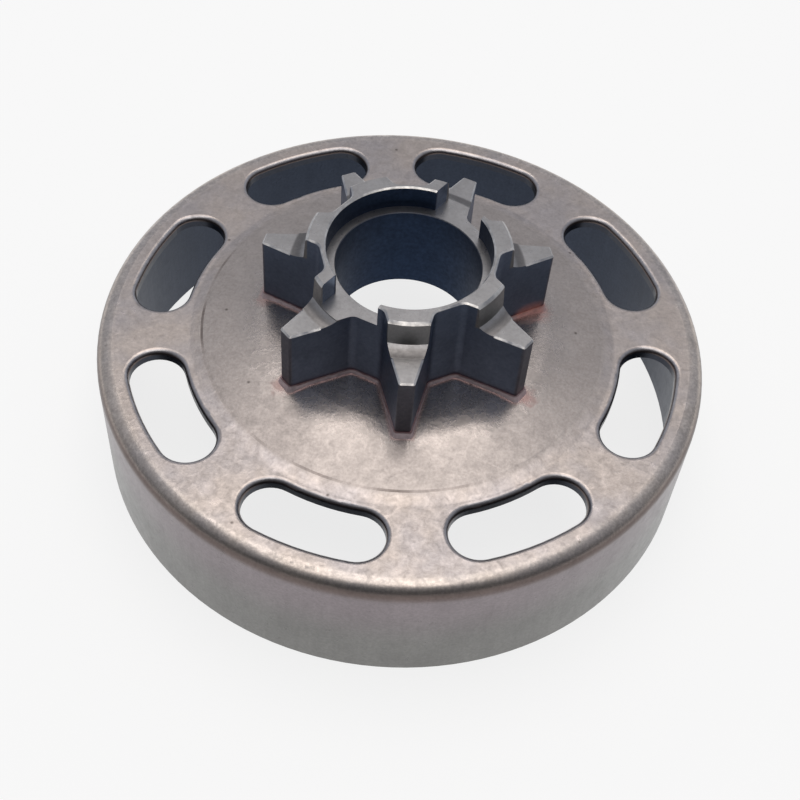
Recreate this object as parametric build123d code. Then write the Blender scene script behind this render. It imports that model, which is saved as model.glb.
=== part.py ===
from build123d import *
import math
import os

# Chainsaw clutch drum with a spur sprocket brazed to it, in millimetres.
# The drum stands on its rim, closed end up. The origin is the centre of the rim's plane, and +Z is the
# shaft's axis. One tooth of the sprocket points along -Y.

# Drum: a deep-drawn sheet cup that the clutch shoes grip from inside
shoe_diameter = 75.0
sheet = 1.6
drum_height = 17.7
rim_bend_inside = 0.4
rim_break = 0.3

# Kidney slots punched through the drum's flat ring
slot_count = 8
slot_width = 7.0
slot_bridge = 7.25
slot_edge_roll = 0.7
slot_land = 1.05
slot_turn = 26.2

# Raised centre of the drum that carries the sprocket
step_land = 0.3
step_run = 1.6
step_rise = 0.65
seat_rise = 1.93
seat_margin = 1.75
form_inside = 0.9

# Sprocket teeth
tooth_count = 7
tip_diameter = 36.9
tip_width = 1.85
tip_round = 0.3
root_width = 3.9
root_fillet = 1.2
tooth_height = 9.48

# Sprocket hub: bore, counterbore with a seat ring, castellated collar, cross slot and spigot
bore_diameter = 18.0
bore_chamfer = 0.1
seat_ring = 1.2
collar_wall = 0.6
collar_ear = 1.85
collar_lean = 0.25
collar_rise = 3.18
collar_break = 0.35
cove_run = 1.76
cove_rise = 0.54
floor_rise = 0.69
cross_slot_width = 7.0
spigot_shoulder = 0.4
spigot_past_sheet = 0.5
edge_break = 0.2

# Brazed joint: filler around and under the foot of the star, and the slip fit of the spigot in the drum
braze_rise = 0.5
braze_width = 0.3
braze_lip = 0.1
braze_sink = 0.5
spigot_fit = 0.05

# Radii that follow from the sizes above
drum_radius = shoe_diameter / 2 + sheet
rim_bend = rim_bend_inside + sheet
slot_outer_radius = drum_radius - rim_bend - slot_land - slot_edge_roll
slot_radius = slot_outer_radius - slot_width / 2
step_foot_radius = slot_radius - slot_width / 2 - slot_edge_roll - step_land
step_radius = step_foot_radius - step_run
tip_radius = tip_diameter / 2
bore_radius = bore_diameter / 2
counterbore_radius = bore_radius + seat_ring
root_radius = counterbore_radius + collar_wall
collar_radius = root_radius + collar_ear
collar_foot_radius = collar_radius + collar_lean
core_radius = collar_foot_radius + cove_run
spigot_radius = root_radius - spigot_shoulder
hub_hole_radius = spigot_radius + spigot_fit
seat_radius = core_radius + seat_margin

# Heights that follow from the sizes above
seat_z = drum_height + seat_rise
tooth_z = seat_z + tooth_height
cove_z = tooth_z + cove_rise
floor_z = tooth_z + floor_rise
collar_z = floor_z + collar_rise
spigot_z = seat_z - sheet - spigot_past_sheet

# Angles in degrees; the cross slot lies square to the tooth beside the front one
full_turn = 360
quarter_turn = full_turn / 4
edge_slope = quarter_turn / 2
tooth_pitch = full_turn / tooth_count
front_tooth = -quarter_turn
cross_slot_turn = front_tooth + tooth_pitch + quarter_turn
slot_pitch = full_turn / slot_count
slot_span = slot_pitch - math.degrees((slot_width + slot_bridge) / slot_radius)


def drum_section():
    """Half section of the sheet: the outer line from the hub hole to the rim, thickened inwards."""
    outer_line = FilletPolyline(
        (hub_hole_radius, 0, seat_z),
        (seat_radius, 0, seat_z),
        (step_radius, 0, drum_height + step_rise),
        (step_foot_radius, 0, drum_height),
        (drum_radius, 0, drum_height),
        (drum_radius, 0, 0),
        radius=[form_inside + sheet, form_inside + sheet, form_inside, rim_bend],
    )
    return make_face(offset(outer_line, sheet, side=Side.RIGHT))


def kidney_slot(turn):
    """One kidney slot, as deep as the sheet, its middle turned from +X."""
    centre_line = CenterArc((0, 0), slot_radius, turn - slot_span / 2, slot_span)
    return extrude(Pos(0, 0, drum_height) * SlotArc(centre_line, slot_width), -sheet)


def clutch_drum():
    """The cup with its slots, whose top edges are rolled over by the punch."""
    drum = revolve(drum_section(), Axis.Z)
    for index in range(slot_count):
        drum -= kidney_slot(slot_turn + index * slot_pitch)
    ring_edges = drum.edges().filter_by_position(Axis.Z, drum_height, drum_height)
    drum = fillet(ring_edges.filter_by(lambda edge: not edge.is_closed), slot_edge_roll)
    rim_edges = drum.edges().group_by(Axis.Z)[0]
    return chamfer(rim_edges.sort_by(SortBy.RADIUS)[0], rim_break)


def star():
    """Outline of the teeth: straight flanks from rounded root corners to narrow tips."""
    half_tip = tip_width / 2
    tip_reach = math.sqrt(tip_radius**2 - half_tip**2)
    points = []
    for index in range(tooth_count):
        tooth = front_tooth + index * tooth_pitch
        gap = tooth + tooth_pitch / 2
        points.append(Vector(tip_reach, -half_tip).rotate(Axis.Z, tooth))
        points.append(Vector(tip_reach, half_tip).rotate(Axis.Z, tooth))
        points.append(Vector(root_radius, -root_width / 2).rotate(Axis.Z, gap))
        points.append(Vector(root_radius, root_width / 2).rotate(Axis.Z, gap))
    outline = make_face(Polyline(*points, close=True))
    flank_middle = (root_radius + tip_radius) / 2
    root_corners = outline.vertices().filter_by(lambda corner: Vector(corner).length < flank_middle)
    outline = fillet(root_corners, root_fillet)
    tip_corners = outline.vertices().filter_by(lambda corner: Vector(corner).length > flank_middle)
    return fillet(tip_corners, tip_round)


def turned_blank():
    """Everything on the sprocket that is turned: spigot, tooth tops, cove, collar, counterbore and bore."""
    cove_foot = (core_radius, 0, tooth_z)
    collar_foot = (collar_foot_radius, 0, cove_z)
    cove = TangentArc(cove_foot, collar_foot, tangent=(-1, 0, 0))
    outside = Polyline(
        (bore_radius, 0, spigot_z + bore_chamfer),
        (bore_radius + bore_chamfer, 0, spigot_z),
        (spigot_radius - edge_break, 0, spigot_z),
        (spigot_radius, 0, spigot_z + edge_break),
        (spigot_radius, 0, seat_z),
        (tip_radius, 0, seat_z),
        (tip_radius, 0, tooth_z),
        cove_foot,
    )
    collar_and_bore = Polyline(
        collar_foot,
        (collar_radius, 0, collar_z - collar_break),
        (collar_radius - collar_break, 0, collar_z),
        (counterbore_radius + edge_break, 0, collar_z),
        (counterbore_radius, 0, collar_z - edge_break),
        (counterbore_radius, 0, floor_z),
        (bore_radius + bore_chamfer, 0, floor_z),
        (bore_radius, 0, floor_z - bore_chamfer),
        (bore_radius, 0, spigot_z + bore_chamfer),
    )
    return revolve(make_face(outside + cove + collar_and_bore), Axis.Z)


def broken_prism(outline, top):
    """A prism from the spigot's end up to a level, with its top edges broken."""
    body = extrude(Pos(0, 0, spigot_z) * outline, top - edge_break - spigot_z)
    return body + extrude(Pos(0, 0, top - edge_break) * outline, edge_break, taper=edge_slope)


def spur_sprocket():
    """The turned blank cut to the star, first the teeth and then the core, with the cross slot milled last."""
    outline = star()
    teeth = broken_prism(outline, tooth_z)
    core = broken_prism(outline & Circle(core_radius), collar_z)
    across = Box(core_radius * 2, cross_slot_width, collar_rise, align=(Align.CENTER, Align.CENTER, Align.MIN))
    return (turned_blank() & (teeth + core)) - Pos(0, 0, floor_z) * Rot(0, 0, cross_slot_turn) * across


def braze_seam(drum, sprocket):
    """A sloped bead round the star's foot that also fills the wedge under the tooth tips."""
    run = (braze_width - braze_lip) / braze_rise
    height = braze_sink + braze_rise
    foot = Pos(0, 0, seat_z - braze_sink)
    bead = extrude(foot * offset(star(), braze_lip + height * run), height, taper=math.degrees(math.atan(run)))
    hub = extrude(foot * Circle(root_radius), height)
    return bead - hub - sprocket - drum


drum = clutch_drum()
sprocket = spur_sprocket()
os.makedirs("parts", exist_ok=True)
export_step(drum, "parts/clutch_drum.step")
export_step(sprocket, "parts/spur_sprocket.step")
export_step(braze_seam(drum, sprocket), "parts/braze_seam.step")
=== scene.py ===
import math

import bpy
from mathutils import Matrix, Vector


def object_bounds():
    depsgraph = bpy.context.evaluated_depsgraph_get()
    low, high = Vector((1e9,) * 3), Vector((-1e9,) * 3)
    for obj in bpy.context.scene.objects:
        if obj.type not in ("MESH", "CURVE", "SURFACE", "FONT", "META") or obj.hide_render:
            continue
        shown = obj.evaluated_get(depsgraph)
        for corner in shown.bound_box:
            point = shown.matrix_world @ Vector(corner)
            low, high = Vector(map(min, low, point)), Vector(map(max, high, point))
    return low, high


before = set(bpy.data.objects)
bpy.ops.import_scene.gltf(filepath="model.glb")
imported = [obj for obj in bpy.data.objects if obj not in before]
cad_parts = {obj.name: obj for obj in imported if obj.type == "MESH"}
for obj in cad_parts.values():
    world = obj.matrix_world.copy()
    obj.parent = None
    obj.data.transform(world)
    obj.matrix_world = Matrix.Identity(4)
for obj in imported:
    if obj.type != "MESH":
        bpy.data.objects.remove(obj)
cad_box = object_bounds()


# The clutch drum: a cup drawn from mild steel sheet, pierced with eight kidney slots and raised in
# the middle. The press burnished its bends, tumbling peened the flange, the raised disc stayed
# plainer, and the brazing furnace tinted all of it a warm grey.
mm_per_metre = 1000.0
drum_radius = round(cad_box[1][0] * mm_per_metre, 2)
drum_height = 17.7
sheet_thickness = 1.6
bend_radius = 2.0
step_radius = 25.75
step_foot_radius = 27.35
bend_edge = drum_radius - bend_radius
bend_foot = drum_height - bend_radius
wall_middle = drum_radius - sheet_thickness / 2

flange_tone = "#AAA2A0"
warm_tone = "#ADA29B"
disc_tone = "#A49B96"
wall_top_tone = "#888083"
wall_foot_tone = "#7C7B79"
# Painted shade: the next two tones colour the inside of the cup and the walls of the slots dark.
shade_tone = "#363C48"
slot_wall_shade_tone = "#3A3D45"
# Painted highlight: a lighter tone on the burnished bend of the rim.
bend_highlight_tone = "#CFC5BB"
rolled_tone = "#A6A4A7"
# Painted shade: a dark brown band on the wall just under the rim's bend.
bend_shade_tone = "#6A5E59"
# Painted shade: a thin dark line along the step's edge.
step_shade_line_tone = "#5A504C"
pit_tone = "#3A332F"
copper_stain_tone = "#A9837D"
# Painted shade: a darker tone close round the star's foot.
foot_shade_tone = "#8A8480"

disc_roughness = 0.37
flange_roughness = 0.32
seat_roughness = 0.27
bend_roughness = 0.33


def linear(tone):
    """The linear colour of an sRGB hex tone."""
    parts = [int(tone[i : i + 2], 16) / 255 for i in (1, 3, 5)]
    return [p / 12.92 if p <= 0.04045 else ((p + 0.055) / 1.055) ** 2.4 for p in parts] + [1.0]


def add(tree, kind, feeds, out=0, **settings):
    """Adds a node; each input takes a plain value or the socket that feeds it. Gives one output."""
    made = tree.nodes.new(kind)
    for name, value in settings.items():
        setattr(made, name, value)
    for name, value in feeds.items():
        if isinstance(value, bpy.types.NodeSocket):
            tree.links.new(value, made.inputs[name])
        else:
            made.inputs[name].default_value = value
    return None if out is None else made.outputs[out]


def finish_named(name):
    """A new material with an empty tree, and its tree."""
    material = bpy.data.materials.new(name)
    material.use_nodes = True
    material.node_tree.nodes.clear()
    return material, material.node_tree


def whereabouts(tree):
    """Where a point is in mm, its plan view, its reach from the shaft, and how far up it faces."""
    metres = add(tree, "ShaderNodeTexCoord", {}, out="Object")
    spot = add(tree, "ShaderNodeVectorMath", {0: metres, "Scale": mm_per_metre}, operation="SCALE")
    plan = add(tree, "ShaderNodeVectorMath", {0: spot, 1: (1.0, 1.0, 0.0)}, operation="MULTIPLY")
    reach = add(tree, "ShaderNodeVectorMath", {0: plan}, out="Value", operation="LENGTH")
    facing = add(tree, "ShaderNodeSeparateXYZ", {0: metres.node.outputs["Normal"]}, out="Z")
    return spot, plan, reach, facing


# The mix node's sockets for colours and for plain numbers, and settings that many nodes share.
COLOUR_A, COLOUR_B = 6, 7
NUMBER_A, NUMBER_B = 2, 3
TONES = {"data_type": "RGBA", "out": 2}
NUMBERS = {"data_type": "FLOAT"}
SMOOTH = {"interpolation_type": "SMOOTHSTEP"}

# Tumbled, furnace-tinted mild steel: satin and warm, finely flecked where the tumbling stones
# struck it, smoother where the die slid, with painted shade, dark and bluish, inside and in the slots.
drum_steel, tree = finish_named("tumbled_mild_steel")
spot, plan, reach, facing = whereabouts(tree)
x = add(tree, "ShaderNodeSeparateXYZ", {0: spot}, out="X")
y = x.node.outputs["Y"]
z = x.node.outputs["Z"]
front = add(tree, "ShaderNodeMath", {0: y, 1: -1.0}, operation="MULTIPLY")
angle = add(tree, "ShaderNodeMath", {0: x, 1: front}, operation="ARCTAN2")

# The drum's regions, told apart by reach from the shaft and by slope.
on_flange = add(tree, "ShaderNodeMapRange", {
    "Value": reach, "From Min": step_radius - 0.2, "From Max": step_radius + 0.8,
}, **SMOOTH)
on_wall = add(tree, "ShaderNodeMapRange", {"Value": facing, "From Min": 0.8, "From Max": 0.4}, **SMOOTH)
level = add(tree, "ShaderNodeMapRange", {"Value": facing, "From Min": 0.8, "From Max": 0.95})
leaning = add(tree, "ShaderNodeMapRange", {
    "Value": facing, "From Min": 0.985, "From Max": 0.88,
}, **SMOOTH)
not_upright = add(tree, "ShaderNodeMapRange", {
    "Value": facing, "From Min": 0.0, "From Max": 0.25,
}, **SMOOTH)
past_step = add(tree, "ShaderNodeMapRange", {
    "Value": reach, "From Min": step_foot_radius - 0.15, "From Max": step_foot_radius + 0.35,
})
burnished = add(tree, "ShaderNodeMath", {0: leaning, 1: not_upright}, operation="MULTIPLY")
burnished = add(tree, "ShaderNodeMath", {0: burnished, 1: past_step}, operation="MULTIPLY")
inside = add(tree, "ShaderNodeMapRange", {
    "Value": reach, "From Min": wall_middle - 0.1, "From Max": wall_middle - 0.5,
})
turned_down = add(tree, "ShaderNodeMapRange", {
    "Value": facing, "From Min": 0.22, "From Max": 0.02,
}, **SMOOTH)
# Painted shade: faces inside the cup that stand upright or turn down are coloured dark.
painted_shade_faces = add(tree, "ShaderNodeMath", {0: inside, 1: turned_down}, operation="MULTIPLY")

# Patterns, each at its own size in mm. The grain is drawn coarser than the real one, so that it
# shows, and the draw marks run up the wall.
cloud_size = 8.0
peen_size = 1.3
grain_size = 0.35
draw_mark_width = 1.1
draw_mark_length = 16.0
clouds = add(tree, "ShaderNodeTexNoise", {
    "Vector": spot, "Scale": 1 / cloud_size, "Detail": 3.0, "Roughness": 0.6,
})
peening = add(tree, "ShaderNodeTexNoise", {
    "Vector": spot, "Scale": 1 / peen_size, "Detail": 5.0, "Roughness": 0.62, "Distortion": 0.7,
})
grain = add(tree, "ShaderNodeTexNoise", {
    "Vector": spot, "Scale": 1 / grain_size, "Detail": 2.0, "Roughness": 0.6,
})
along = add(tree, "ShaderNodeMath", {0: angle, 1: drum_radius / draw_mark_width}, operation="MULTIPLY")
up = add(tree, "ShaderNodeMath", {0: z, 1: 1 / draw_mark_length}, operation="MULTIPLY")
drawn = add(tree, "ShaderNodeCombineXYZ", {"X": along, "Y": up, "Z": clouds})
draw_marks = add(tree, "ShaderNodeTexNoise", {
    "Vector": drawn, "Scale": 1.0, "Detail": 3.0, "Roughness": 0.6,
})

# Half a tooth of the star's foot as three lines in mm, along its flank, its root and its tip, and
# each point's distance from the foot.
tooth_count = 7
root_radius = 10.8
tip_corner = Vector((18.43, 0.925))
root_corner = Vector((10.577, 2.929))
half_pitch = math.pi / tooth_count
flank = (tip_corner - root_corner).normalized()
flank_out = Vector((-flank.y, flank.x))
flank_line = (flank_out.x, flank_out.y, -flank_out.dot(tip_corner))
root_line = (math.cos(half_pitch), math.sin(half_pitch), -root_radius)
tip_line = (1.0, 0.0, -tip_corner.x)
fold = add(tree, "ShaderNodeMath", {0: angle, 1: half_pitch}, operation="PINGPONG")
fold_cos = add(tree, "ShaderNodeMath", {0: fold}, operation="COSINE")
fold_sin = add(tree, "ShaderNodeMath", {0: fold}, operation="SINE")
out_along = add(tree, "ShaderNodeMath", {0: reach, 1: fold_cos}, operation="MULTIPLY")
out_across = add(tree, "ShaderNodeMath", {0: reach, 1: fold_sin}, operation="MULTIPLY")
folded = add(tree, "ShaderNodeCombineXYZ", {"X": out_along, "Y": out_across, "Z": 1.0})
from_flank, from_root, from_tip = [
    add(tree, "ShaderNodeVectorMath", {0: folded, 1: line}, out="Value", operation="DOT_PRODUCT")
    for line in (flank_line, root_line, tip_line)
]
from_tooth = add(tree, "ShaderNodeMath", {0: from_flank, 1: from_tip}, operation="MAXIMUM")
from_star = add(tree, "ShaderNodeMath", {0: from_tooth, 1: from_root}, operation="MINIMUM")

# Painted shade close round the star's foot, a blush of copper there, and the places where the filler
# ran out over the seat: x, y and spread in mm, and strength.
copper_runs = [
    (16.6, 2.6, 3.2, 0.85),
    (15.1, -11.6, 2.0, 0.75),
    (-18.1, 2.4, 1.6, 0.45),
    (-14.8, -11.5, 1.8, 0.5),
]
stain_start = 21.0
stain_end = 22.5
# Painted shade close round the star's foot.
painted_foot_shade = add(tree, "ShaderNodeMapRange", {
    "Value": from_star, "From Min": 1.6, "From Max": 0.2, "To Max": 0.5,
}, **SMOOTH)
blushed = add(tree, "ShaderNodeMapRange", {
    "Value": from_star, "From Min": 0.85, "From Max": 0.3, "To Max": 0.4,
}, **SMOOTH)
for run_x, run_y, spread, strength in copper_runs:
    away = add(tree, "ShaderNodeVectorMath", {
        0: plan, 1: (run_x, run_y, 0.0),
    }, out="Value", operation="DISTANCE")
    ragged = add(tree, "ShaderNodeMath", {0: peening, 1: spread * 1.6, 2: away}, operation="MULTIPLY_ADD")
    run = add(tree, "ShaderNodeMapRange", {
        "Value": ragged, "From Min": spread * 1.8, "From Max": spread * 0.9, "To Max": strength,
    }, **SMOOTH)
    blushed = add(tree, "ShaderNodeMath", {0: blushed, 1: run}, operation="MAXIMUM")
raised = add(tree, "ShaderNodeMapRange", {"Value": reach, "From Min": stain_end, "From Max": stain_start})
on_seat = add(tree, "ShaderNodeMath", {0: raised, 1: level}, operation="MULTIPLY")
stained = add(tree, "ShaderNodeMath", {0: blushed, 1: on_seat}, operation="MULTIPLY")
painted_foot_shade_on_seat = add(tree, "ShaderNodeMath", {0: painted_foot_shade, 1: on_seat}, operation="MULTIPLY")

# A thin line of painted shade along the edge of the raised disc's step, heavier towards the left front.
line_half_width = 0.16
shade_line_dark_side = (-0.8, -0.6, 0.0)
on_line = add(tree, "ShaderNodeMath", {0: reach, 1: step_radius, 2: line_half_width}, operation="COMPARE")
shade_line_strength = add(tree, "ShaderNodeMapRange", {
    "Value": clouds, "From Min": 0.42, "From Max": 0.62, "To Min": 0.1, "To Max": 0.75,
})
line_side = add(tree, "ShaderNodeVectorMath", {
    0: plan, 1: shade_line_dark_side,
}, out="Value", operation="DOT_PRODUCT")
line_side = add(tree, "ShaderNodeMapRange", {"Value": line_side, "From Min": 4.0, "From Max": 16.0})
shade_line_strength = add(tree, "ShaderNodeMath", {0: shade_line_strength, 1: line_side}, operation="MULTIPLY")
painted_step_shade = add(tree, "ShaderNodeMath", {0: on_line, 1: shade_line_strength}, operation="MULTIPLY")

# A few small pits, far apart.
pit_spacing = 14.0
cells = add(tree, "ShaderNodeTexVoronoi", {
    "Vector": plan, "Scale": 1 / pit_spacing,
}, voronoi_dimensions="2D")
deep = add(tree, "ShaderNodeMapRange", {
    "Value": cells, "From Min": 0.02, "From Max": 0.005, "To Max": 0.7,
})
pits = add(tree, "ShaderNodeMath", {0: deep, 1: level}, operation="MULTIPLY")

# The plate: a disc and a warmer flange, then its stains and pits, painted shade round the star's foot
# and at the step, painted glints on the bend, and the rolled edges of the slots, one over the other.
drift = add(tree, "ShaderNodeMapRange", {"Value": clouds, "From Min": 0.38, "From Max": 0.62})
on_bend = add(tree, "ShaderNodeMapRange", {
    "Value": reach, "From Min": bend_edge - 0.4, "From Max": bend_edge + 0.4,
})
glints = add(tree, "ShaderNodeMapRange", {
    "Value": grain, "From Min": 0.4, "From Max": 0.65, "To Min": 0.2, "To Max": 0.45,
})
# Painted highlight on the rim's bend, in flecks.
painted_bend_highlight = add(tree, "ShaderNodeMath", {0: on_bend, 1: glints}, operation="MULTIPLY")
off_bend = add(tree, "ShaderNodeMapRange", {
    "Value": reach, "From Min": bend_edge - 0.4, "From Max": bend_edge - 0.9, "To Max": 0.8,
})
rolled = add(tree, "ShaderNodeMath", {0: burnished, 1: off_bend}, operation="MULTIPLY")
ring = add(tree, "ShaderNodeMix", {
    0: drift, COLOUR_A: linear(flange_tone), COLOUR_B: linear(warm_tone),
}, **TONES)
plate = add(tree, "ShaderNodeMix", {0: on_flange, COLOUR_A: linear(disc_tone), COLOUR_B: ring}, **TONES)
for share, tone in [
    (painted_foot_shade_on_seat, foot_shade_tone),
    (stained, copper_stain_tone),
    (painted_step_shade, step_shade_line_tone),
    (pits, pit_tone),
    (painted_bend_highlight, bend_highlight_tone),
    (rolled, rolled_tone),
]:
    plate = add(tree, "ShaderNodeMix", {0: share, COLOUR_A: plate, COLOUR_B: linear(tone)}, **TONES)

# The wall, darker towards its foot, painted shade under its bend, and painted shade on inner and slot
# faces.
wall_foot = 5.0
wall_top = 14.0
wall_rise = add(tree, "ShaderNodeMapRange", {
    "Value": z, "From Min": wall_foot, "From Max": wall_top,
}, **SMOOTH)
wall = add(tree, "ShaderNodeMix", {
    0: wall_rise, COLOUR_A: linear(wall_foot_tone), COLOUR_B: linear(wall_top_tone),
}, **TONES)
# Painted shade under the rim's bend.
painted_bend_shade = add(tree, "ShaderNodeMapRange", {
    "Value": z, "From Min": bend_foot - 0.7, "From Max": bend_foot + 0.7, "To Max": 0.85,
}, **SMOOTH)
wall = add(tree, "ShaderNodeMix", {0: painted_bend_shade, COLOUR_A: wall, COLOUR_B: linear(bend_shade_tone)}, **TONES)
skin = add(tree, "ShaderNodeMix", {0: on_wall, COLOUR_A: plate, COLOUR_B: wall}, **TONES)
off_wall = add(tree, "ShaderNodeMapRange", {
    "Value": reach, "From Min": bend_edge - 0.2, "From Max": bend_edge - 0.6,
})
not_under = add(tree, "ShaderNodeMapRange", {"Value": facing, "From Min": -0.5, "From Max": -0.2})
in_slot = add(tree, "ShaderNodeMath", {0: off_wall, 1: not_under}, operation="MULTIPLY")
painted_shade_colour = add(tree, "ShaderNodeMix", {
    0: in_slot, COLOUR_A: linear(shade_tone), COLOUR_B: linear(slot_wall_shade_tone),
}, **TONES)
skin = add(tree, "ShaderNodeMix", {0: painted_shade_faces, COLOUR_A: skin, COLOUR_B: painted_shade_colour}, **TONES)

# Unevenness: clouds and grain everywhere, flecks on the plate, draw marks and scuffs on the wall.
cloudy = add(tree, "ShaderNodeMapRange", {
    "Value": clouds, "From Min": 0.3, "From Max": 0.7, "To Min": 0.92, "To Max": 1.08,
})
peen_depth = add(tree, "ShaderNodeMapRange", {"Value": on_flange, "To Min": 0.5, "To Max": 0.9})
peen_swing = add(tree, "ShaderNodeMath", {0: peening, 1: 0.5}, operation="SUBTRACT")
peened = add(tree, "ShaderNodeMath", {0: peen_swing, 1: peen_depth, 2: 1.0}, operation="MULTIPLY_ADD")
streaks = add(tree, "ShaderNodeMapRange", {
    "Value": draw_marks, "From Min": 0.3, "From Max": 0.7, "To Min": 0.96, "To Max": 1.04,
})
scuffs = add(tree, "ShaderNodeMapRange", {
    "Value": peening, "From Min": 0.6, "From Max": 0.7, "To Min": 1.0, "To Max": 0.86,
})
streaks = add(tree, "ShaderNodeMath", {0: streaks, 1: scuffs}, operation="MULTIPLY")
fleck = add(tree, "ShaderNodeMix", {0: on_wall, NUMBER_A: peened, NUMBER_B: streaks}, **NUMBERS)
fine = add(tree, "ShaderNodeMapRange", {
    "Value": grain, "From Min": 0.3, "From Max": 0.7, "To Min": 0.9, "To Max": 1.1,
})
uneven = add(tree, "ShaderNodeMath", {0: cloudy, 1: fleck}, operation="MULTIPLY")
uneven = add(tree, "ShaderNodeMath", {0: uneven, 1: fine}, operation="MULTIPLY")
tinted = add(tree, "ShaderNodeVectorMath", {0: skin, "Scale": uneven}, operation="SCALE")

# Sheen: the disc is the dullest, but it grows smoother towards the star.
polish_start = 18.5
polish_end = 23.5
sheen = add(tree, "ShaderNodeMapRange", {
    "Value": on_flange, "To Min": disc_roughness, "To Max": flange_roughness,
})
seated = add(tree, "ShaderNodeMapRange", {
    "Value": reach, "From Min": polish_end, "From Max": polish_start,
}, **SMOOTH)
sheen = add(tree, "ShaderNodeMix", {0: seated, NUMBER_A: sheen, NUMBER_B: seat_roughness}, **NUMBERS)
sheen = add(tree, "ShaderNodeMix", {0: burnished, NUMBER_A: sheen, NUMBER_B: bend_roughness}, **NUMBERS)
dulled = add(tree, "ShaderNodeMapRange", {
    "Value": peening, "From Min": 0.3, "From Max": 0.7, "To Min": 0.05, "To Max": -0.05,
})
roughness = add(tree, "ShaderNodeMath", {0: sheen, 1: dulled}, operation="ADD")

# Relief. The tools that drew the step and the seat were round, so the light turns slowly over both.
step_ease = 2.5
seat_ease = 3.0
ease_start = 16.3
ease_end = 19.2
peen_height = 0.04 / mm_per_metre
struck = add(tree, "ShaderNodeMath", {0: grain, 1: 0.6, 2: peening}, operation="MULTIPLY_ADD")
surface = add(tree, "ShaderNodeMix", {0: on_wall, NUMBER_A: struck, NUMBER_B: draw_marks}, **NUMBERS)
up_step = add(tree, "ShaderNodeMapRange", {
    "Value": reach, "From Min": step_radius - 0.3, "From Max": step_radius + 0.3,
})
off_step = add(tree, "ShaderNodeMapRange", {
    "Value": reach, "From Min": step_foot_radius + 0.65, "From Max": step_foot_radius + 0.05,
    "To Max": step_ease,
})
on_step = add(tree, "ShaderNodeMath", {0: up_step, 1: off_step}, operation="MULTIPLY")
at_seat = add(tree, "ShaderNodeMapRange", {
    "Value": reach, "From Min": ease_end, "From Max": ease_start, "To Max": seat_ease,
}, **SMOOTH)
ease = add(tree, "ShaderNodeMath", {0: on_step, 1: at_seat}, operation="MAXIMUM")
ease = add(tree, "ShaderNodeMath", {0: ease, 1: level}, operation="MULTIPLY")
upward = add(tree, "ShaderNodeCombineXYZ", {"Z": ease})
outward = add(tree, "ShaderNodeNewGeometry", {}, out="Normal")
eased = add(tree, "ShaderNodeVectorMath", {0: outward, 1: upward}, operation="ADD")
eased = add(tree, "ShaderNodeVectorMath", {0: eased}, operation="NORMALIZE")
depth = add(tree, "ShaderNodeMapRange", {"Value": burnished, "To Min": 0.4, "To Max": 0.1})
relief = add(tree, "ShaderNodeBump", {
    "Height": surface, "Strength": depth, "Distance": peen_height, "Normal": eased,
})
bare = add(tree, "ShaderNodeMapRange", {"Value": stained, "To Min": 1.0, "To Max": 0.35})
shader = add(tree, "ShaderNodeBsdfPrincipled", {
    "Base Color": tinted, "Metallic": bare, "Roughness": roughness, "Normal": relief,
})
add(tree, "ShaderNodeOutputMaterial", {"Surface": shader}, out=None)
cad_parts["clutch_drum"].data.materials[0] = drum_steel


# The sprocket: a star of seven teeth under a castellated collar, turned and broached from alloy
# steel and then hardened. Its top faces are ground clean, the flanks are blue-black, partly furnace
# oxide and partly painted shade, the bore is coloured near black as painted shade, and the broken
# edges are rubbed bright, partly with painted highlight.
bore_radius = 9.0
counterbore_radius = 10.2
collar_radius = 12.65
collar_foot_radius = 12.9
cove_radius = 14.6
tip_radius = 18.45
seat_height = 19.63
tooth_top = 29.11
right_foot = (16.4, 1.6, 20.2)

top_tone = "#9C9998"
# Partly furnace oxide, partly painted shade: the bluish, darker tone of the flanks.
flank_oxide_and_shade_tone = "#6E7A90"
tip_tone = "#7A7A84"
# Painted shade: the bore is coloured near black.
bore_shade_tone = "#29374E"
collar_tone = "#8E8D8E"
# Painted shade: a darker tone on the tooth tops where they rise to the collar.
cove_shade_tone = "#716E6D"
# Partly real wear, partly painted highlight: the bright tone of the broken edges.
edge_wear_and_highlight_tone = "#C9C6C3"
foot_tone = "#4A2C2F"
run_tone = "#C98A7E"

flank_roughness = 0.4
bore_roughness = 0.55
top_roughness = 0.32
edge_roughness = 0.34

# Hardened alloy steel, satin: grey ground tops with fine grain and painted shade in the coves, dark
# flanks of oxide and painted shade, a bore of painted shade, and worn edges with painted highlight.
hard_steel, tree = finish_named("hardened_alloy_steel")
spot, plan, reach, facing = whereabouts(tree)
z = add(tree, "ShaderNodeSeparateXYZ", {0: spot}, out="Z")
ground_grain_size = 0.5
furnace_cloud_size = 2.5
grain = add(tree, "ShaderNodeTexNoise", {
    "Vector": spot, "Scale": 1 / ground_grain_size, "Detail": 3.0, "Roughness": 0.65,
})
clouds = add(tree, "ShaderNodeTexNoise", {
    "Vector": spot, "Scale": 1 / furnace_cloud_size, "Detail": 3.0, "Roughness": 0.6,
})

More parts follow.
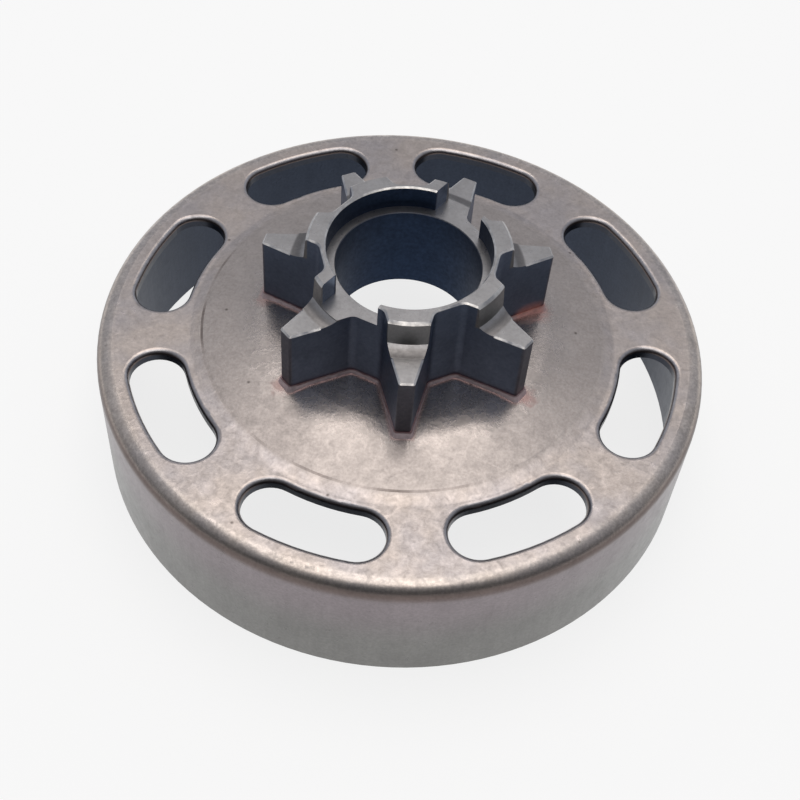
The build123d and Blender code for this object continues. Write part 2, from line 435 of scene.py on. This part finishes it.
# Its faces, told apart by slope, reach and height.
ground = add(tree, "ShaderNodeMapRange", {"Value": facing, "From Min": 0.55, "From Max": 0.95}, **SMOOTH)
in_bore = add(tree, "ShaderNodeMapRange", {
    "Value": reach, "From Min": counterbore_radius + 0.3, "From Max": counterbore_radius + 0.1,
})
off_bore = add(tree, "ShaderNodeMapRange", {
    "Value": reach, "From Min": counterbore_radius, "From Max": counterbore_radius + 0.3,
})
in_collar = add(tree, "ShaderNodeMapRange", {
    "Value": reach, "From Min": collar_radius - 0.3, "From Max": collar_radius - 0.1,
})
above_teeth = add(tree, "ShaderNodeMapRange", {
    "Value": z, "From Min": tooth_top + 0.3, "From Max": tooth_top + 0.6,
})
collar_wall = add(tree, "ShaderNodeMath", {0: in_collar, 1: above_teeth}, operation="MULTIPLY")
at_tip = add(tree, "ShaderNodeMapRange", {
    "Value": reach, "From Min": tip_radius - 0.4, "From Max": tip_radius - 0.1,
})
in_cove = add(tree, "ShaderNodeMapRange", {
    "Value": reach, "From Min": cove_radius + 0.15, "From Max": cove_radius - 0.15,
})
past_collar = add(tree, "ShaderNodeMapRange", {
    "Value": reach, "From Min": collar_foot_radius, "From Max": collar_foot_radius + 0.7,
})
# Painted shade in the cove at the collar's foot.
painted_cove_shade = add(tree, "ShaderNodeMath", {0: in_cove, 1: past_collar}, operation="MULTIPLY")

# Edges that were broken at 45 degrees, rubbed bright in patches, partly real wear and partly painted
# highlight.
broken_slope = 0.707
slope_range = 0.1
on_slant = add(tree, "ShaderNodeMath", {0: facing, 1: broken_slope, 2: slope_range}, operation="COMPARE")
rubbed_and_highlit_patches = add(tree, "ShaderNodeMapRange", {
    "Value": clouds, "From Min": 0.3, "From Max": 0.6, "To Min": 0.3,
})
exposed = add(tree, "ShaderNodeMapRange", {
    "Value": reach, "From Min": bore_radius + 0.5, "From Max": bore_radius + 1.0,
})
rubbed_and_highlit_patches = add(tree, "ShaderNodeMath", {0: rubbed_and_highlit_patches, 1: exposed}, operation="MULTIPLY")
rubbed_and_highlit = add(tree, "ShaderNodeMath", {0: on_slant, 1: rubbed_and_highlit_patches}, operation="MULTIPLY")

# A dark red foot where the filler wetted the flanks, and one run of it up the right tooth.
low = add(tree, "ShaderNodeMapRange", {
    "Value": z, "From Min": seat_height + 1.1, "From Max": seat_height + 0.4, "To Max": 0.75,
}, **SMOOTH)
low = add(tree, "ShaderNodeMath", {0: low, 1: off_bore}, operation="MULTIPLY")
from_run = add(tree, "ShaderNodeVectorMath", {0: spot, 1: right_foot}, out="Value", operation="DISTANCE")
ragged = add(tree, "ShaderNodeMath", {0: clouds, 1: 2.0, 2: from_run}, operation="MULTIPLY_ADD")
run_up = add(tree, "ShaderNodeMapRange", {
    "Value": ragged, "From Min": 3.6, "From Max": 2.2, "To Max": 0.7,
}, **SMOOTH)
run_low = add(tree, "ShaderNodeMapRange", {
    "Value": z, "From Min": seat_height + 2.2, "From Max": seat_height + 0.9,
})
run_up = add(tree, "ShaderNodeMath", {0: run_up, 1: run_low}, operation="MULTIPLY")

# Colours of the sides and tops, with painted shade on flanks, bore and coves, and the edges over both.
side = add(tree, "ShaderNodeMix", {
    0: in_bore, COLOUR_A: linear(flank_oxide_and_shade_tone), COLOUR_B: linear(bore_shade_tone),
}, **TONES)
for share, tone in [(collar_wall, collar_tone), (at_tip, tip_tone), (low, foot_tone), (run_up, run_tone)]:
    side = add(tree, "ShaderNodeMix", {0: share, COLOUR_A: side, COLOUR_B: linear(tone)}, **TONES)
top = add(tree, "ShaderNodeMix", {
    0: painted_cove_shade, COLOUR_A: linear(top_tone), COLOUR_B: linear(cove_shade_tone),
}, **TONES)
skin = add(tree, "ShaderNodeMix", {0: ground, COLOUR_A: side, COLOUR_B: top}, **TONES)
skin = add(tree, "ShaderNodeMix", {0: rubbed_and_highlit, COLOUR_A: skin, COLOUR_B: linear(edge_wear_and_highlight_tone)}, **TONES)
speckled = add(tree, "ShaderNodeMapRange", {
    "Value": grain, "From Min": 0.3, "From Max": 0.7, "To Min": 0.88, "To Max": 1.12,
})
cloudy = add(tree, "ShaderNodeMapRange", {
    "Value": clouds, "From Min": 0.3, "From Max": 0.7, "To Min": 0.9, "To Max": 1.1,
})
uneven = add(tree, "ShaderNodeMath", {0: speckled, 1: cloudy}, operation="MULTIPLY")
tinted = add(tree, "ShaderNodeVectorMath", {0: skin, "Scale": uneven}, operation="SCALE")

# Sheen and relief; the rubbed edges are rounded, so they catch light from above.
edge_lift = 0.45
grain_height = 0.03 / mm_per_metre
sheen = add(tree, "ShaderNodeMapRange", {
    "Value": in_bore, "To Min": flank_roughness, "To Max": bore_roughness,
})
sheen = add(tree, "ShaderNodeMix", {0: ground, NUMBER_A: sheen, NUMBER_B: top_roughness}, **NUMBERS)
sheen = add(tree, "ShaderNodeMix", {0: rubbed_and_highlit, NUMBER_A: sheen, NUMBER_B: edge_roughness}, **NUMBERS)
dulled = add(tree, "ShaderNodeMapRange", {
    "Value": grain, "From Min": 0.3, "From Max": 0.7, "To Min": 0.05, "To Max": -0.05,
})
roughness = add(tree, "ShaderNodeMath", {0: sheen, 1: dulled}, operation="ADD")
lift = add(tree, "ShaderNodeMath", {0: rubbed_and_highlit, 1: edge_lift}, operation="MULTIPLY")
upward = add(tree, "ShaderNodeCombineXYZ", {"Z": lift})
outward = add(tree, "ShaderNodeNewGeometry", {}, out="Normal")
rounded = add(tree, "ShaderNodeVectorMath", {0: outward, 1: upward}, operation="ADD")
rounded = add(tree, "ShaderNodeVectorMath", {0: rounded}, operation="NORMALIZE")
relief = add(tree, "ShaderNodeBump", {
    "Height": grain, "Strength": 0.25, "Distance": grain_height, "Normal": rounded,
})
bare = add(tree, "ShaderNodeMapRange", {"Value": run_up, "To Min": 1.0, "To Max": 0.35})
shader = add(tree, "ShaderNodeBsdfPrincipled", {
    "Base Color": tinted, "Metallic": bare, "Roughness": roughness, "Normal": relief,
})
add(tree, "ShaderNodeOutputMaterial", {"Surface": shader}, out=None)
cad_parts["spur_sprocket"].data.materials[0] = hard_steel


# The braze: a thin fillet of copper filler that the furnace drew into the corner between the star
# and the drum. It was laid on as paste or wire, melted, and froze where it had crept.
spread_tone = "#DCCBCE"
climb_tone = "#8E7476"
copper_roughness = 0.5
lump_size = 1.2
lump_height = 0.1 / mm_per_metre

# Frozen copper: dull and softly lumpy, pale pink where it spread over the seat, dark red up the
# flank, and oxidised where it ran at the right tooth.
copper, tree = finish_named("frozen_braze_copper")
metres = add(tree, "ShaderNodeTexCoord", {}, out="Object")
spot = add(tree, "ShaderNodeVectorMath", {0: metres, "Scale": mm_per_metre}, operation="SCALE")
z = add(tree, "ShaderNodeSeparateXYZ", {0: spot}, out="Z")
lumps = add(tree, "ShaderNodeTexNoise", {
    "Vector": spot, "Scale": 1 / lump_size, "Detail": 3.0, "Roughness": 0.6,
})
wave = add(tree, "ShaderNodeMath", {0: lumps, 1: 0.4, 2: z}, operation="MULTIPLY_ADD")
climbed = add(tree, "ShaderNodeMapRange", {
    "Value": wave, "From Min": seat_height + 0.5, "From Max": seat_height + 0.75,
}, **SMOOTH)
film = add(tree, "ShaderNodeMix", {
    0: climbed, COLOUR_A: linear(spread_tone), COLOUR_B: linear(climb_tone),
}, **TONES)
from_run = add(tree, "ShaderNodeVectorMath", {0: spot, 1: right_foot}, out="Value", operation="DISTANCE")
oxide = add(tree, "ShaderNodeMapRange", {
    "Value": from_run, "From Min": 3.2, "From Max": 1.6, "To Max": 0.8,
}, **SMOOTH)
film = add(tree, "ShaderNodeMix", {0: oxide, COLOUR_A: film, COLOUR_B: linear(run_tone)}, **TONES)
lumpy = add(tree, "ShaderNodeMapRange", {
    "Value": lumps, "From Min": 0.3, "From Max": 0.7, "To Min": 0.75, "To Max": 1.2,
})
tinted = add(tree, "ShaderNodeVectorMath", {0: film, "Scale": lumpy}, operation="SCALE")
relief = add(tree, "ShaderNodeBump", {"Height": lumps, "Strength": 0.4, "Distance": lump_height})
bare = add(tree, "ShaderNodeMapRange", {"Value": oxide, "To Min": 1.0, "To Max": 0.2})
shader = add(tree, "ShaderNodeBsdfPrincipled", {
    "Base Color": tinted, "Metallic": bare, "Roughness": copper_roughness, "Normal": relief,
})
add(tree, "ShaderNodeOutputMaterial", {"Surface": shader}, out=None)
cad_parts["braze_seam"].data.materials[0] = copper


# The floor: a wide sheet of pale matt paper that the drum's rim stands on. Seen from below it is
# clear, so that the underside of the drum can be looked at.
floor_reach = 3.0
floor_tone = "#F4F3F1"
floor_glow = 0.8
corners = [(-1, -1), (1, -1), (1, 1), (-1, 1)]
floor_mesh = bpy.data.meshes.new("floor")
floor_mesh.from_pydata([(a * floor_reach, b * floor_reach, 0) for a, b in corners], [], [(0, 1, 2, 3)])
floor = bpy.data.objects.new("floor", floor_mesh)
bpy.context.scene.collection.objects.link(floor)

# Pale paper: matt and near white, with part of its brightness its own, and it keeps a soft shadow.
pale_paper, tree = finish_named("pale_paper")
seen = add(tree, "ShaderNodeLightPath", {}, out="Is Camera Ray")
rays = seen.node.outputs
seen = add(tree, "ShaderNodeMath", {0: seen, 1: rays["Is Glossy Ray"]}, operation="MAXIMUM")
seen = add(tree, "ShaderNodeMath", {0: seen, 1: rays["Is Transmission Ray"]}, operation="MAXIMUM")
share = add(tree, "ShaderNodeMath", {0: seen, 1: floor_glow}, operation="MULTIPLY")
matt = add(tree, "ShaderNodeBsdfDiffuse", {"Color": linear(floor_tone)})
glow = add(tree, "ShaderNodeEmission", {"Color": (1.0, 1.0, 1.0, 1.0), "Strength": 1.0})
paper = add(tree, "ShaderNodeMixShader", {0: share, 1: matt, 2: glow})
under = add(tree, "ShaderNodeNewGeometry", {}, out="Backfacing")
clear = add(tree, "ShaderNodeBsdfTransparent", {})
one_sided = add(tree, "ShaderNodeMixShader", {0: under, 1: paper, 2: clear})
add(tree, "ShaderNodeOutputMaterial", {"Surface": one_sided}, out=None)
floor_mesh.materials.append(pale_paper)


# The light: one large softbox that hangs overhead and a little behind, with a faintly warm cloth.
# The flange and the front of the disc mirror it, and the sides of the part stay dim.
lamp_height = 0.5
lamp_back = 0.02
lamp_across = 0.36
lamp_deep = 0.62
lamp_light = 1.8
lamp_tone = "#FFFAF4"
softbox = bpy.data.lights.new("overhead_softbox", "AREA")
softbox.shape = "RECTANGLE"
softbox.size = lamp_across
softbox.size_y = lamp_deep
softbox.color = linear(lamp_tone)[:3]
softbox.energy = lamp_light * math.pi * lamp_across * lamp_deep
lamp = bpy.data.objects.new("overhead_softbox", softbox)
lamp.location = (0.0, lamp_back, lamp_height)
bpy.context.scene.collection.objects.link(lamp)


# The room: dim and faintly blue, darker towards the floor and towards the camera's side, so that
# the teeth and the bore mirror little and look dark.
room_tone = "#F0F5FF"
room_tilt = (0.0, 0.8, 0.6)
room_dark = 0.12
room_bright = 0.62
dark_below = -0.35
bright_above = 0.75
room = bpy.data.worlds.new("studio_room")
room.use_nodes = True
tree = room.node_tree
tree.nodes.clear()
way = add(tree, "ShaderNodeTexCoord", {}, out="Generated")
height = add(tree, "ShaderNodeVectorMath", {0: way, 1: room_tilt}, out="Value", operation="DOT_PRODUCT")
strength = add(tree, "ShaderNodeMapRange", {
    "Value": height, "From Min": dark_below, "From Max": bright_above,
    "To Min": room_dark, "To Max": room_bright,
})
air = add(tree, "ShaderNodeBackground", {"Color": linear(room_tone), "Strength": strength})
add(tree, "ShaderNodeOutputWorld", {"Surface": air}, out=None)
bpy.context.scene.world = room
bpy.context.scene.view_settings.view_transform = "Standard"


# The camera stands in front of one tooth and above it, looking down steeply, turned a little
# about its own line of sight.
camera_place = Vector((-6.36, -115.94, 148.98)) / mm_per_metre
camera_aim = Vector((0.568, 2.412, 0.0)) / mm_per_metre
camera_roll = math.radians(5.13)
camera_lens = 60.965
camera_sensor = 36.0
camera_near = 5.0 / mm_per_metre

camera_data = bpy.data.cameras.new("camera")
camera_data.lens = camera_lens
camera_data.sensor_width = camera_sensor
camera_data.clip_start = camera_near
camera = bpy.data.objects.new("camera", camera_data)
sight = (camera_aim - camera_place).normalized()
level_line = sight.cross(Vector((0.0, 0.0, 1.0))).normalized()
upright = level_line.cross(sight)
turn = Matrix((level_line, upright, -sight)).transposed() @ Matrix.Rotation(camera_roll, 3, "Z")
camera.matrix_world = Matrix.Translation(camera_place) @ turn.to_4x4()
bpy.context.scene.collection.objects.link(camera)
bpy.context.scene.camera = camera
